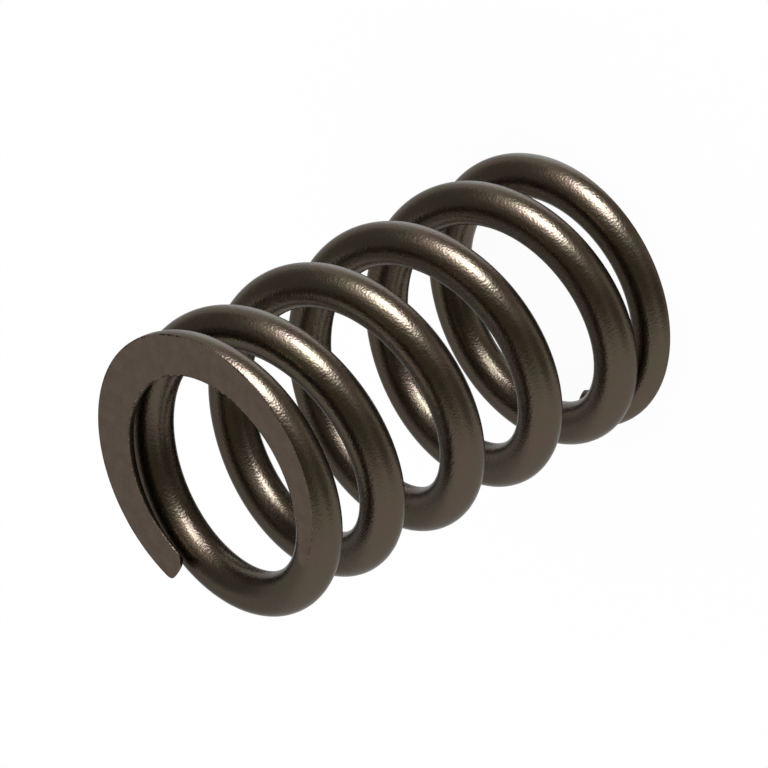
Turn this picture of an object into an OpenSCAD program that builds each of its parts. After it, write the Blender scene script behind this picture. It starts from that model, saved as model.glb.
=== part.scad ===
// Engine valve spring: one length of round wire, coiled right-handed, with closed and ground ends.
// The axis is Z. The bottom ground face lies on z = 0, and the top wire tip points at +X.

/* [Coil] */
// Outer diameter of the coils
outer_d = 28; // [22:0.1:40]
// Diameter of the round wire
wire_d = 4.05; // [3:0.05:5]
// Free length between the two ground faces
free_length = 46; // [40:0.5:60]
// Turns of wire from tip to tip, with the closed ones
total_turns = 5.89; // [5:0.01:8]

/* [Top end] */
// Turns that lie closed at the top, counted from the tip
top_closed_turns = 0.62; // [0.5:0.01:0.9]
// Turns over which the pitch then opens out
top_opening_turns = 0.96; // [0.4:0.01:1.5]
// Gap between the top tip and the coil that it closes on
top_tip_gap = 0.4; // [0.1:0.05:1]
// Thickness that grinding leaves at the top tip
top_tip_thickness = 0.95; // [0.5:0.05:1.5]

/* [Bottom end] */
// Turns that lie closed at the bottom, counted from the tip
bottom_closed_turns = 0.67; // [0.5:0.01:0.9]
// Turns over which the pitch then opens out
bottom_opening_turns = 0.56; // [0.4:0.01:1.5]
// Gap between the bottom tip and the coil that it closes on
bottom_tip_gap = 0.2; // [0.1:0.05:1]
// Thickness that grinding leaves at the bottom tip
bottom_tip_thickness = 1.3; // [0.5:0.05:1.5]

/* [Wire ends] */
// Rounding radius where the wire was cut off and tumbled
end_round = 0.7; // [0.2:0.1:1.4]

/* [Smoothness] */
// Width of the facets round the wire
facet_width = 0.65; // [0.5:0.05:1.2]
// About how many facets the wire's skin may have
facet_budget = 10800; // [5000:100:12000]

/* [Hidden] */

steel_colour = [0.27, 0.24, 0.21];
quadrants = 4;
full_turn_deg = 360;
end_round_steps = 3;

wire_r = wire_d / 2;
coil_r = outer_d / 2 - wire_r;
turn_length = 2 * PI * coil_r;
round_turns = end_round / turn_length;

// Both counts are multiples of four, so that facets' corners lie on the outer diameter at the four sides
wire_sides = quadrants * ceil(PI * wire_d / facet_width / quadrants);
steps_per_turn = quadrants * floor(facet_budget / (2 * wire_sides * total_turns) / quadrants);

// The grinding plane cuts into each tip, so the wire's centre there lies outside the finished length
top_tip_z = free_length - top_tip_thickness + wire_r;
bottom_tip_z = bottom_tip_thickness - wire_r;

// Turns' worth of opened pitch passed at a distance from a tip: a smooth ramp, added up along the wire
function opened_turns(turns, closed, opening) =
    let (t = min(max((turns - closed) / opening, 0), 1))
    opening * (pow(t, 3) - pow(t, 4) / 2) + max(turns - closed - opening, 0);

// Share of the full opening that the pitch has reached there
function opened_share(turns, closed, opening) =
    let (t = min(max((turns - closed) / opening, 0), 1))
    t * t * (3 - 2 * t);

// The pitch of each closed end leaves the stated gap one turn from its tip, and the active
// pitch takes up the rest of the free length, so the three are solved together
top_opened_in_one = opened_turns(1, top_closed_turns, top_opening_turns);
bottom_opened_in_one = opened_turns(1, bottom_closed_turns, bottom_opening_turns);
top_closed_share = (top_closed_turns + top_opening_turns / 2) / (1 - top_opened_in_one);
bottom_closed_share = (bottom_closed_turns + bottom_opening_turns / 2) / (1 - bottom_opened_in_one);
closed_rise = top_closed_share * (wire_d + top_tip_gap) + bottom_closed_share * (wire_d + bottom_tip_gap);
active_turns = total_turns - top_closed_share - bottom_closed_share;
active_pitch = (top_tip_z - bottom_tip_z - closed_rise) / active_turns;
top_pitch = (wire_d + top_tip_gap - active_pitch * top_opened_in_one) / (1 - top_opened_in_one);
bottom_pitch = (wire_d + bottom_tip_gap - active_pitch * bottom_opened_in_one) / (1 - bottom_opened_in_one);

// Rise along the axis and pitch at a distance in turns from a tip
function rise(turns, closed, opening, pitch) =
    pitch * turns + (active_pitch - pitch) * opened_turns(turns, closed, opening);
function pitch_there(turns, closed, opening, pitch) =
    pitch + (active_pitch - pitch) * opened_share(turns, closed, opening);

// Height and pitch of the wire's centre line, with the turns counted down from the top tip
function centre_z(turns) = turns < total_turns / 2
    ? top_tip_z - rise(turns, top_closed_turns, top_opening_turns, top_pitch)
    : bottom_tip_z + rise(total_turns - turns, bottom_closed_turns, bottom_opening_turns, bottom_pitch);
function centre_pitch(turns) = turns < total_turns / 2
    ? pitch_there(turns, top_closed_turns, top_opening_turns, top_pitch)
    : pitch_there(total_turns - turns, bottom_closed_turns, bottom_opening_turns, bottom_pitch);

// One round section square to the wire, with the first point on its outermost side
function wire_ring(turns, radius) =
    let (
        around = -full_turn_deg * turns,
        slope = atan2(centre_pitch(turns), turn_length)
    )
    [
        for (side = [0 : wire_sides - 1])
            let (
                side_deg = full_turn_deg * side / wire_sides,
                out = coil_r + radius * cos(side_deg),
                along = radius * sin(side_deg) * sin(slope),
                up = radius * sin(side_deg) * cos(slope)
            )
            [
                out * cos(around) + along * sin(around),
                out * sin(around) - along * cos(around),
                centre_z(turns) + up
            ]
    ];

// Stations along the wire, as [turns from the top tip, section radius], with rounded ends
function end_station(step) =
    let (deg = full_turn_deg / quadrants * step / end_round_steps)
    [round_turns * (1 - cos(deg)), wire_r - end_round * (1 - sin(deg))];

top_end_stations = [for (step = [0 : end_round_steps]) end_station(step)];
bottom_end_stations = [
    for (step = [end_round_steps : -1 : 0])
        let (station = end_station(step))
        [total_turns - station[0], station[1]]
];
first_step = floor(round_turns * steps_per_turn) + 1;
last_step = ceil((total_turns - round_turns) * steps_per_turn) - 1;
coil_stations = [for (step = [first_step : last_step]) [step / steps_per_turn, wire_r]];
stations = concat(top_end_stations, coil_stations, bottom_end_stations);

// The whole coiled wire as one closed skin, before its ends are ground
module coiled_wire() {
    ring_count = len(stations);
    points = [for (station = stations) each wire_ring(station[0], station[1])];
    skin = [
        for (ring = [0 : ring_count - 2], side = [0 : wire_sides - 1])
            let (
                here = ring * wire_sides + side,
                beside = ring * wire_sides + (side + 1) % wire_sides
            )
            each [
                [here, here + wire_sides, beside + wire_sides],
                [here, beside + wire_sides, beside]
            ]
    ];
    top_cap = [for (side = [0 : wire_sides - 1]) side];
    bottom_cap = [for (side = [wire_sides - 1 : -1 : 0]) (ring_count - 1) * wire_sides + side];
    polyhedron(points = points, faces = concat(skin, [top_cap, bottom_cap]));
}

// The grinding wheels leave what lies between the two end planes
module ground_length() {
    linear_extrude(free_length)
        square(outer_d + wire_d, center = true);
}

module valve_spring() {
    color(steel_colour)
        intersection() {
            coiled_wire();
            ground_length();
        }
}

valve_spring();
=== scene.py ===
"""Looks of the engine valve spring: its swept wire, peened steel, the studio and the camera."""
import math

import bmesh
import bpy
import numpy as np
from mathutils import Matrix, Vector


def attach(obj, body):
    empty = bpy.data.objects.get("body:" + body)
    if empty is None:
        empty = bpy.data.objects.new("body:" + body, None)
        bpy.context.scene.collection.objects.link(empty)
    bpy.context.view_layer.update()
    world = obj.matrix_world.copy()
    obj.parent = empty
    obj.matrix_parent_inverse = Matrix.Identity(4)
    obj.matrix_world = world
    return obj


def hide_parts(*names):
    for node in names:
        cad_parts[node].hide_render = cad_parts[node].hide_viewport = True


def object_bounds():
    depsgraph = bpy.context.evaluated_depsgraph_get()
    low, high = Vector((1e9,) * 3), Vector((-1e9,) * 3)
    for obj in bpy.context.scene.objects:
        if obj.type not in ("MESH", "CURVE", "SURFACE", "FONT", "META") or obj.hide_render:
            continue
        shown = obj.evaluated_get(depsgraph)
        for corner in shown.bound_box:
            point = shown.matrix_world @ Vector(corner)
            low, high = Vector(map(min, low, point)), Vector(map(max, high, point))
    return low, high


MM = 0.001

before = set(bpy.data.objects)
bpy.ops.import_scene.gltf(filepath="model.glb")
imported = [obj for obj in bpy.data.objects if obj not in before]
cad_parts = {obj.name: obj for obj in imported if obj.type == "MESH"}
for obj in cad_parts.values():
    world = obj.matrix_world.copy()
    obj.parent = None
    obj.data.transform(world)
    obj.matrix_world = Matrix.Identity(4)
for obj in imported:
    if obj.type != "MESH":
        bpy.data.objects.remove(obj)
cad_low, cad_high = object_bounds()

# Sizes of the spring, of which the frame gives the coil's outer diameter and the free length
OUTER_D = cad_high.x - cad_low.x
FREE_LENGTH = cad_high.z - cad_low.z
WIRE_D = 4.05 * MM
TOTAL_TURNS = 5.89
TOP_END = {"closed": 0.62, "opening": 0.96, "gap": 0.4 * MM, "thickness": 0.95 * MM}
BOTTOM_END = {"closed": 0.67, "opening": 0.56, "gap": 0.2 * MM, "thickness": 1.3 * MM}
END_ROUND = 0.7 * MM

# The tumbled edge of the ground faces, which the frame's solid leaves sharp: its radius, and the
# share of the wire's thickness there that it may take at most
EDGE_ROUND = 0.05 * MM
EDGE_LIMIT = 0.4

# The rim inside that edge, flecked with bright wear and with painted shade: its width, and the share
# of half the face that it may take
RIM_WIDTH = 0.16 * MM
RIM_LIMIT = 0.25

# Thickness of the thinnest ring at a tip
THINNEST = 0.03 * MM

# How fine the sweep is
STEPS_PER_TURN = 160
END_STEPS = 14
EDGE_PARTS = 4
FACE_PARTS = 10
ARC_PARTS = 22
ZONE_PARTS = 2 * EDGE_PARTS + FACE_PARTS

# Half angles of the zones under the two grinding planes, past the ground faces: they grow from
# the narrowest one to the one that spreads all facets evenly, over some turns, and take at most
# a share of the room that the zone on the other side leaves
NARROW_ZONE = math.radians(8)
EVEN_ZONE = math.pi * ZONE_PARTS / (ARC_PARTS + ZONE_PARTS)
ZONE_SPREAD_TURNS = 0.15
FAR_ZONE_SHARE = 0.6

# Sizes that follow from those
WIRE_R = WIRE_D / 2
COIL_R = OUTER_D / 2 - WIRE_R
TURN_LENGTH = 2 * math.pi * COIL_R
TOP_TIP_Z = FREE_LENGTH - TOP_END["thickness"] + WIRE_R
BOTTOM_TIP_Z = BOTTOM_END["thickness"] - WIRE_R


def smooth(t):
    """A rise from 0 to 1 with soft ends, for a share t or an array of shares."""
    return t * t * (3 - 2 * t)


def ramp(turns, end):
    """How far the pitch has opened at a distance in turns from a tip, from 0 to 1."""
    return min(max((turns - end["closed"]) / end["opening"], 0), 1)


def opened_turns(turns, end):
    """Turns' worth of opened pitch passed on the way from the tip."""
    t = ramp(turns, end)
    return end["opening"] * (t**3 - t**4 / 2) + max(turns - end["closed"] - end["opening"], 0)


def solve_pitches():
    """Active pitch and the two closed pitches that give the tip gaps and the free length."""
    ends = (TOP_END, BOTTOM_END)
    in_one = [opened_turns(1, end) for end in ends]
    first = [WIRE_D + end["gap"] for end in ends]
    shares = [(end["closed"] + end["opening"] / 2) / (1 - k) for end, k in zip(ends, in_one)]
    rise = TOP_TIP_Z - BOTTOM_TIP_Z - shares[0] * first[0] - shares[1] * first[1]
    active = rise / (TOTAL_TURNS - shares[0] - shares[1])
    closed = [(f - active * k) / (1 - k) for f, k in zip(first, in_one)]
    return active, closed[0], closed[1]


ACTIVE_PITCH, TOP_PITCH, BOTTOM_PITCH = solve_pitches()


def centre_line(turns):
    """Height and pitch of the wire's centre, with turns counted down from the top tip."""
    if turns < TOTAL_TURNS / 2:
        end, pitch, left, start, sign = TOP_END, TOP_PITCH, turns, TOP_TIP_Z, -1
    else:
        end, pitch, left, start, sign = BOTTOM_END, BOTTOM_PITCH, TOTAL_TURNS - turns, BOTTOM_TIP_Z, 1
    extra = ACTIVE_PITCH - pitch
    t = ramp(left, end)
    height = start + sign * (pitch * left + extra * opened_turns(left, end))
    return height, pitch + extra * smooth(t)


def end_rings(lid):
    """Distances along the wire and radii of a rounded end, from where it leaves the ground face."""
    rise = max(-lid + THINNEST - (WIRE_R - END_ROUND), 0)
    first = math.asin(min(rise / END_ROUND, 1))
    angles = np.linspace(first, math.pi / 2, END_STEPS + 1)
    return [(END_ROUND * (1 - math.cos(a)), WIRE_R - END_ROUND * (1 - math.sin(a))) for a in angles]


def stations():
    """All rings of the sweep, as (turns from the top tip, section radius)."""
    top = [(s / TURN_LENGTH, r) for s, r in end_rings(FREE_LENGTH - TOP_TIP_Z)]
    bottom = [(TOTAL_TURNS - s / TURN_LENGTH, r) for s, r in end_rings(BOTTOM_TIP_Z)]
    start, stop = top[-1][0], bottom[-1][0]
    count = round((stop - start) * STEPS_PER_TURN)
    middle = [(start + (stop - start) * i / count, WIRE_R) for i in range(1, count)]
    return top + middle + bottom[::-1]


def face_edge(radius, lid):
    """Rounding radius of the ground face's edge, and how far out the rounding's centre lies."""
    edge = min(EDGE_ROUND, EDGE_LIMIT * (radius + lid))
    return edge, math.sqrt(max((radius - edge) ** 2 - (lid - edge) ** 2, 0))


def past_face(radius, lid):
    """Whether a section lies clear of the grinding plane, or is touched too little to count."""
    return lid >= radius * math.cos(NARROW_ZONE)


def zone_half(radius, lid):
    """Half the angle that the ground face and its edges take on the section, or 0 past the face."""
    if past_face(radius, lid):
        return 0.0
    edge, out = face_edge(radius, lid)
    return math.atan2(out, lid - edge)


def ground_zone(radius, lid, half):
    """Section points of the zone under a grinding plane, from the coil's inner side outwards.

    Each point is (out, up, share of ground face, share of its rim). lid is the plane's height
    over the wire's centre, and half is the angle that zone_angles gave this zone.
    """
    if past_face(radius, lid):
        angles = np.linspace(-half, half, ZONE_PARTS + 1)
        return [(radius * math.sin(a), min(radius * math.cos(a), lid), 0.0, 0.0) for a in angles]
    edge, out = face_edge(radius, lid)
    inset = min(RIM_WIDTH, RIM_LIMIT * out)
    outer = []
    for i, a in enumerate(np.linspace(half, 0, EDGE_PARTS + 1)):
        ground = i / EDGE_PARTS
        rim = min(2 * ground, 1)
        outer.append((out + edge * math.sin(a), lid - edge + edge * math.cos(a), ground, rim))
    spread = np.linspace(-(out - inset), out - inset, FACE_PARTS - 1)
    face = [(x, lid, 1.0, 0.0) for x in spread]
    inner = [(-x, y, ground, rim) for x, y, ground, rim in outer]
    return inner + face + outer[::-1]


def section(radius, top_lid, bottom_lid, top_half, bottom_half):
    """One closed section, from the top zone's inner side round by the coil's outer side."""
    top = ground_zone(radius, top_lid, top_half)
    bottom_zone = ground_zone(radius, bottom_lid, bottom_half)[::-1]
    bottom = [(x, -y, ground, rim) for x, y, ground, rim in bottom_zone]
    outer = np.linspace(top_half, math.pi - bottom_half, ARC_PARTS + 1)[1:-1]
    inner = np.linspace(math.pi + bottom_half, 2 * math.pi - top_half, ARC_PARTS + 1)[1:-1]

    def arc(angles):
        return [(radius * math.sin(a), radius * math.cos(a), 0.0, 0.0) for a in angles]

    return top + arc(outer) + bottom + arc(inner)


def zone_angles(rings):
    """Half angles of the top and bottom zones of every ring, which widen past the ground faces."""
    lids = []
    for turns, radius in rings:
        height, pitch = centre_line(turns)
        tilt = math.cos(math.atan2(pitch, TURN_LENGTH))
        lids.append(((FREE_LENGTH - height) / tilt, height / tilt))
    halves = np.array([[zone_half(r, lid) for lid in pair] for (_, r), pair in zip(rings, lids)])
    turns = np.array([t for t, _ in rings])
    filled = halves.copy()
    for side in (0, 1):
        cut = halves[:, side] > 0
        edge_turns = turns[cut].max() if side == 0 else turns[cut].min()
        t = np.clip(np.abs(turns - edge_turns) / ZONE_SPREAD_TURNS, 0, 1)
        grown = NARROW_ZONE + (EVEN_ZONE - NARROW_ZONE) * smooth(t)
        filled[~cut, side] = grown[~cut]
    for side in (0, 1):
        room = FAR_ZONE_SHARE * (math.pi - filled[:, 1 - side])
        plain = halves[:, side] == 0
        filled[plain, side] = np.minimum(filled[plain, side], room[plain])
    return lids, filled


def sweep_points():
    """Vertices of the whole wire, ring by ring, and each vertex's ground and rim shares."""
    rings = stations()
    lids, halves = zone_angles(rings)
    points, marks = [], []
    for (turns, radius), (top_lid, bottom_lid), (top_half, bottom_half) in zip(rings, lids, halves):
        height, pitch = centre_line(turns)
        around = -2 * math.pi * turns
        slope = math.atan2(pitch, TURN_LENGTH)
        ring = np.array(section(radius, top_lid, bottom_lid, top_half, bottom_half))
        out = COIL_R + ring[:, 0]
        along = ring[:, 1] * math.sin(slope)
        points.append(np.column_stack([
            out * math.cos(around) + along * math.sin(around),
            out * math.sin(around) - along * math.cos(around),
            height + ring[:, 1] * math.cos(slope),
        ]))
        marks.append(ring[:, 2:])
    return np.array(points), np.array(marks)


def make_wire():
    """The whole spring as one closed mesh, which stands for the frame's solid."""
    points, marks = sweep_points()
    rings, sides = points.shape[:2]
    faces = [list(range(sides))]
    for ring in range(rings - 1):
        for side in range(sides):
            here = ring * sides + side
            beside = ring * sides + (side + 1) % sides
            faces.append([here, here + sides, beside + sides, beside])
    faces.append(list(range(rings * sides - 1, (rings - 1) * sides - 1, -1)))
    mesh = bpy.data.meshes.new("valve_spring_wire")
    mesh.from_pydata(points.reshape(-1, 3).tolist(), [], faces)
    for column, name in enumerate(("ground", "rim")):
        share = mesh.attributes.new(name, "FLOAT", "POINT")
        share.data.foreach_set("value", marks[:, :, column].ravel())
    mesh.shade_smooth()
    mesh.update()
    wire = bpy.data.objects.new("valve_spring_wire", mesh)
    bpy.context.scene.collection.objects.link(wire)
    return wire


def add(tree, kind, inputs=None, **settings):
    """Adds a node. Each input is a plain value, or another node's output that is linked to it."""
    node = tree.nodes.new(kind)
    for name, value in settings.items():
        setattr(node, name, value)
    for name, value in (inputs or {}).items():
        if isinstance(value, bpy.types.NodeSocket):
            tree.links.new(value, node.inputs[name])
        else:
            node.inputs[name].default_value = value
    return node


def new_material(name):
    """A material with an empty node tree and its output node."""
    material = bpy.data.materials.new(name)
    material.use_nodes = True
    material.node_tree.nodes.clear()
    return material, material.node_tree, material.node_tree.nodes.new("ShaderNodeOutputMaterial")


WHITE = (1, 1, 1, 1)

# Sockets of the Mix node, by what it mixes
MIX_FACTOR = 0
FLOAT_A, FLOAT_B, FLOAT_OUT = 2, 3, 0
VECTOR_A, VECTOR_B, VECTOR_OUT = 4, 5, 1
COLOUR_A, COLOUR_B, COLOUR_OUT = 6, 7, 2


def noise(tree, coords, pattern):
    """Noise from 0 to 1, for a pattern of (feature size, finer layers, their share)."""
    size, detail, roughness = pattern
    inputs = {"Vector": coords, "Scale": 1 / size, "Detail": detail, "Roughness": roughness}
    return add(tree, "ShaderNodeTexNoise", inputs).outputs["Fac"]


def stretch(tree, value, low, high, to_low=0.0, to_high=1.0):
    """Spreads the range from low to high over the new range, with both ends held."""
    inputs = {"Value": value, "From Min": low, "From Max": high, "To Min": to_low, "To Max": to_high}
    return add(tree, "ShaderNodeMapRange", inputs).outputs["Result"]


def mix_colour(tree, factor, first, second):
    """The first colour at factor 0, and the second at 1."""
    inputs = {MIX_FACTOR: factor, COLOUR_A: first, COLOUR_B: second}
    return add(tree, "ShaderNodeMix", inputs, data_type="RGBA").outputs[COLOUR_OUT]


def mix_value(tree, factor, first, second):
    """The first value at factor 0, and the second at 1."""
    inputs = {MIX_FACTOR: factor, FLOAT_A: first, FLOAT_B: second}
    return add(tree, "ShaderNodeMix", inputs, data_type="FLOAT").outputs[FLOAT_OUT]


def mix_vector(tree, factor, first, second):
    """The first vector at factor 0, and the second at 1."""
    inputs = {MIX_FACTOR: factor, VECTOR_A: first, VECTOR_B: second}
    return add(tree, "ShaderNodeMix", inputs, data_type="VECTOR").outputs[VECTOR_OUT]


def arithmetic(tree, operation, first, second):
    """The result of a calculation with two values."""
    return add(tree, "ShaderNodeMath", {0: first, 1: second}, operation=operation).outputs[0]


def bumps(tree, pattern, height, under=None):
    """Normal of a surface with bumps of the given height, on top of another bumpy normal."""
    inputs = {"Height": pattern, "Distance": height}
    if under is not None:
        inputs["Normal"] = under
    return add(tree, "ShaderNodeBump", inputs).outputs["Normal"]


# Colours of the oil-darkened steel, as linear values
STEEL = (0.0970, 0.0742, 0.0540, 1)
STEEL_OLIVE = (0.0870, 0.0772, 0.0505, 1)
STEEL_VIOLET = (0.1015, 0.0702, 0.0590, 1)
GROUND_LIGHT = (0.198, 0.152, 0.121, 1)
GROUND_DARK = (0.153, 0.116, 0.094, 1)
BARE_STEEL = (0.34, 0.29, 0.24, 1)
# Near-black painted shade, for the dark flecks along the ground faces' edges
PAINTED_EDGE_SHADE = (0.012, 0.009, 0.007, 1)

# Tint of the sheen at grazing angles, on the wire and on the ground faces
WIRE_SHEEN = (0.62, 0.62, 0.62, 1)
FACE_SHEEN = (0.3, 0.3, 0.3, 1)

# Roughness of both, which varies on the wire
WIRE_ROUGHNESS = (0.26, 0.31)
FACE_ROUGHNESS = 0.6

# Noise patterns of the colours, the gloss and the relief, as (feature size, finer layers, their share)
PATCHES = (2.6 * MM, 2.0, 0.5)
TINTS = (1.1 * MM, 1.0, 0.5)
MOTTLE = (1.4 * MM, 4.0, 0.7)
FLECKS = (0.16 * MM, 1.0, 0.5)
GLOSS = (0.8 * MM, 2.0, 0.5)
PEENING = (0.2 * MM, 0.0, 0.5)
WAVES = (0.45 * MM, 1.0, 0.5)
GRAIN = (0.12 * MM, 2.0, 0.5)

# Stretches of those patterns over which a colour or the gloss changes
PATCH_RANGE = (0.35, 0.65)
WIDE_RANGE = (0.3, 0.7)
BRIGHT_FLECK_RANGE = (0.62, 0.68)
# The next two place the flecks of painted shade and their groups
SHADE_FLECK_RANGE = (0.56, 0.46)
SHADE_GROUP_RANGE = (0.4, 0.6)

# Heights of the relief
PEENING_HEIGHT = 0.020 * MM
WAVE_HEIGHT = 0.01 * MM
GRAIN_HEIGHT = 0.004 * MM


def steel_material():
    """Shot-peened, oil-darkened steel, which is more matt where the ends are ground, with flecks of
    painted shade along their edges.
    """
    material, tree, output = new_material("peened_spring_steel")
    coords = add(tree, "ShaderNodeTexCoord").outputs["Object"]
    ground = add(tree, "ShaderNodeAttribute", attribute_name="ground").outputs["Fac"]
    rim = add(tree, "ShaderNodeAttribute", attribute_name="rim").outputs["Fac"]

    patches = noise(tree, coords, PATCHES)
    tints = noise(tree, coords, TINTS)
    wire_colour = mix_colour(tree, stretch(tree, patches, *PATCH_RANGE), STEEL_OLIVE, STEEL_VIOLET)
    wire_colour = mix_colour(tree, stretch(tree, tints, *WIDE_RANGE), wire_colour, STEEL)
    mottle = noise(tree, coords, MOTTLE)
    face_colour = mix_colour(tree, stretch(tree, mottle, *WIDE_RANGE), GROUND_DARK, GROUND_LIGHT)
    colour = mix_colour(tree, ground, wire_colour, face_colour)

    # Bright flecks of worn bare steel along the rims of the ground faces, and dark flecks of painted
    # shade there, which come in groups
    flecks = noise(tree, coords, FLECKS)
    bright = arithmetic(tree, "MULTIPLY", rim, stretch(tree, flecks, *BRIGHT_FLECK_RANGE))
    # Flecks of painted shade along the edge, which darken it towards black
    edge_shade_share = arithmetic(tree, "MULTIPLY", rim, stretch(tree, flecks, *SHADE_FLECK_RANGE))
    edge_shade_share = arithmetic(tree, "MULTIPLY", edge_shade_share, stretch(tree, patches, *SHADE_GROUP_RANGE))
    colour = mix_colour(tree, bright, colour, BARE_STEEL)
    colour = mix_colour(tree, edge_shade_share, colour, PAINTED_EDGE_SHADE)

    gloss = noise(tree, coords, GLOSS)
    roughness = stretch(tree, gloss, *WIDE_RANGE, *WIRE_ROUGHNESS)

    waves = bumps(tree, noise(tree, coords, WAVES), WAVE_HEIGHT)
    peening = bumps(tree, noise(tree, coords, PEENING), PEENING_HEIGHT, waves)
    grain = bumps(tree, noise(tree, coords, GRAIN), GRAIN_HEIGHT)

    inputs = {
        "Base Color": colour,
        "Metallic": 1.0,
        "Roughness": mix_value(tree, ground, roughness, FACE_ROUGHNESS),
        "Normal": mix_vector(tree, ground, peening, grain),
        "Specular Tint": mix_colour(tree, ground, WIRE_SHEEN, FACE_SHEEN),
    }
    shader = add(tree, "ShaderNodeBsdfPrincipled", inputs)
    tree.links.new(shader.outputs["BSDF"], output.inputs["Surface"])
    return material


def seen_directly(tree):
    """1 for rays from the camera, from a reflection or through glass, and 0 for the others."""
    path = add(tree, "ShaderNodeLightPath").outputs
    both = arithmetic(tree, "MAXIMUM", path["Is Camera Ray"], path["Is Glossy Ray"])
    return arithmetic(tree, "MAXIMUM", both, path["Is Transmission Ray"])


def make_world():
    """Plain white light from all sides, at the level at which colours render as written."""
    world = bpy.data.worlds.new("studio")
    world.use_nodes = True
    tree = world.node_tree
    tree.nodes.clear()
    background = add(tree, "ShaderNodeBackground", {"Color": WHITE, "Strength": 1.0})
    output = add(tree, "ShaderNodeOutputWorld")
    tree.links.new(background.outputs["Background"], output.inputs["Surface"])
    bpy.context.scene.world = world


# The floor: half its width, its height just under the spring, its colour, and the share of plain
# white in what the camera and reflections see of it, which leaves a faint shadow
FLOOR_HALF = 3.0
FLOOR_LEVEL = -0.02 * MM
FLOOR_COLOUR = (0.95, 0.95, 0.95, 1)
FLOOR_WHITE_SHARE = 0.96


def make_floor():
    """A plain white floor that keeps a faint shadow."""
    material, tree, output = new_material("white_floor")
    paper = add(tree, "ShaderNodeBsdfDiffuse", {"Color": FLOOR_COLOUR})
    glow = add(tree, "ShaderNodeEmission", {"Color": WHITE, "Strength": 1.0})
    share = mix_value(tree, seen_directly(tree), 0.0, FLOOR_WHITE_SHARE)
    mixed = add(tree, "ShaderNodeMixShader", {0: share})
    tree.links.new(paper.outputs[0], mixed.inputs[1])
    tree.links.new(glow.outputs[0], mixed.inputs[2])
    tree.links.new(mixed.outputs[0], output.inputs["Surface"])
    corners = [(-1, -1), (1, -1), (1, 1), (-1, 1)]
    points = [(x * FLOOR_HALF, y * FLOOR_HALF, FLOOR_LEVEL) for x, y in corners]
    mesh = bpy.data.meshes.new("floor")
    mesh.from_pydata(points, [], [[0, 1, 2, 3]])
    mesh.materials.append(material)
    sheet = bpy.data.objects.new("floor", mesh)
    bpy.context.scene.collection.objects.link(sheet)
    sheet.visible_glossy = False
    sheet.visible_shadow = False


# What the lights and the camera face
CENTRE = (cad_low + cad_high) / 2


def direction(azimuth, elevation):
    """Unit vector at degrees round from +X towards +Y, and degrees above the floor."""
    a, e = math.radians(azimuth), math.radians(elevation)
    return Vector((math.cos(a) * math.cos(e), math.sin(a) * math.cos(e), math.sin(e)))


def make_softbox(name, azimuth, elevation, distance, half_angle, radiance, colour):
    """A round area light that faces the spring. radiance is its brightness, with 1 as white."""
    light = bpy.data.lights.new(name, "AREA")
    light.shape = "DISK"
    light.size = 2 * distance * math.tan(math.radians(half_angle))
    area = math.pi * light.size**2 / 4
    light.energy = radiance * math.pi * area
    light.color = colour
    lamp = bpy.data.objects.new(name, light)
    towards = direction(azimuth, elevation)
    lamp.location = CENTRE + towards * distance
    lamp.rotation_euler = towards.to_track_quat("Z", "Y").to_euler()
    lamp.visible_camera = False
    lamp.visible_diffuse = False
    bpy.context.scene.collection.objects.link(lamp)


# The studio's walls round the spring
WALL_DISTANCE = 1.2
WALL_SUBDIVISIONS = 5

# Soft panels on the white walls: azimuth, elevation, reach and softness in degrees, and brightness
PANELS = (
    (-29, 12, 30, 28, (0.62, 0.64, 0.64)),
    (141, 46, 41, 36, (0.18, 0.18, 0.13)),
    (121, -18, 27, 22, (0.24, 0.23, 0.18)),
    (135, -81, 22, 14, (0.09, 0.09, 0.08)),
    (-107, 37, 45, 19, (0.26, 0.27, 0.26)),
    (0, 89, 28, 20, (0.24, 0.22, 0.15)),
    (-93, -54, 21, 18, (2.40, 2.65, 2.95)),
    (-170, -23, 36, 19, (0.38, 0.32, 0.26)),
)

# Soft light that comes on top of them, in the same form
HALOS = ((-160, 23, 24, 28, (1.35, 1.20, 1.05)),)


def panel_share(towards, azimuth, elevation, reach, softness):
    """How much of a panel shows in a direction, from 0 outside it to 1 inside it."""
    angle = math.degrees(towards.angle(direction(azimuth, elevation)))
    return smooth(min(max((reach - angle) / softness + 0.5, 0), 1))


def wall_light(towards):
    """The walls' light in a direction from the spring."""
    light = Vector((1, 1, 1))
    for azimuth, elevation, reach, softness, colour in PANELS:
        light = light.lerp(Vector(colour), panel_share(towards, azimuth, elevation, reach, softness))
    for azimuth, elevation, reach, softness, colour in HALOS:
        light += Vector(colour) * panel_share(towards, azimuth, elevation, reach, softness)
    return light


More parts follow.
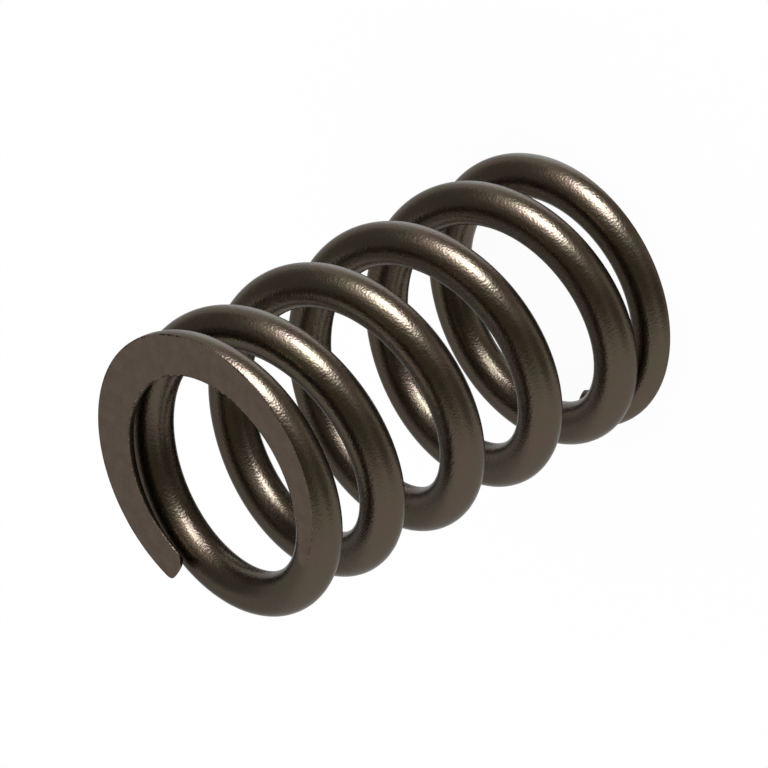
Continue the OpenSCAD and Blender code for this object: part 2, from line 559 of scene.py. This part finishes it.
def make_walls():
    """The studio's walls, which only reflections show."""
    shape = bmesh.new()
    bmesh.ops.create_icosphere(shape, subdivisions=WALL_SUBDIVISIONS, radius=WALL_DISTANCE)
    mesh = bpy.data.meshes.new("studio_walls")
    shape.to_mesh(mesh)
    shape.free()
    light = mesh.attributes.new("light", "FLOAT_COLOR", "POINT")
    for vertex in mesh.vertices:
        light.data[vertex.index].color = (*wall_light(vertex.co.normalized()), 1)
    material, tree, output = new_material("studio_walls")
    colour = add(tree, "ShaderNodeAttribute", attribute_name="light").outputs["Color"]
    glow = add(tree, "ShaderNodeEmission", {"Color": colour, "Strength": 1.0})
    tree.links.new(glow.outputs[0], output.inputs["Surface"])
    material.cycles.emission_sampling = "NONE"
    mesh.materials.append(material)
    walls = bpy.data.objects.new("studio_walls", mesh)
    walls.location = CENTRE
    bpy.context.scene.collection.objects.link(walls)
    walls.visible_camera = False
    walls.visible_diffuse = False
    walls.visible_shadow = False


# The photo's viewing angle: degrees round from +X, above the floor and turned about the view
CAMERA_AZIMUTH = 152.00
CAMERA_ELEVATION = 38.12
CAMERA_ROLL = -118.65
CAMERA_DISTANCE = 440.0 * MM
CAMERA_LENS = 227.1
SENSOR_WIDTH = 36
CLIP_NEAR, CLIP_FAR = 0.01, 20

# Where the spring's centre lies in the picture, right of and above the picture's middle
CENTRE_IN_VIEW = (0.359 * MM, 0.127 * MM)


def make_camera():
    """The camera, from the photo's viewing angle."""
    data = bpy.data.cameras.new("photo_camera")
    data.lens = CAMERA_LENS
    data.sensor_width = SENSOR_WIDTH
    data.clip_start, data.clip_end = CLIP_NEAR, CLIP_FAR
    camera = bpy.data.objects.new("photo_camera", data)
    back = direction(CAMERA_AZIMUTH, CAMERA_ELEVATION)
    level = Vector((0, 0, 1)).cross(back).normalized()
    upright = back.cross(level)
    roll = math.radians(CAMERA_ROLL)
    right = level * math.cos(roll) + upright * math.sin(roll)
    up = back.cross(right)
    place = CENTRE - right * CENTRE_IN_VIEW[0] - up * CENTRE_IN_VIEW[1] + back * CAMERA_DISTANCE
    camera.matrix_world = Matrix((
        (right.x, up.x, back.x, place.x),
        (right.y, up.y, back.y, place.y),
        (right.z, up.z, back.z, place.z),
        (0, 0, 0, 1),
    ))
    bpy.context.scene.collection.objects.link(camera)
    bpy.context.scene.camera = camera


# The spring
wire = make_wire()
wire.data.materials.append(steel_material())
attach(wire, "root")
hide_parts("valve_spring")

# The studio and the camera
make_world()
make_floor()
make_camera()
make_walls()
make_softbox(
    "key_softbox",
    azimuth=-169.0,
    elevation=6.7,
    distance=0.6,
    half_angle=17.6,
    radiance=22,
    colour=(0.905, 1, 1.11),
)

bpy.context.scene.view_settings.view_transform = "Standard"
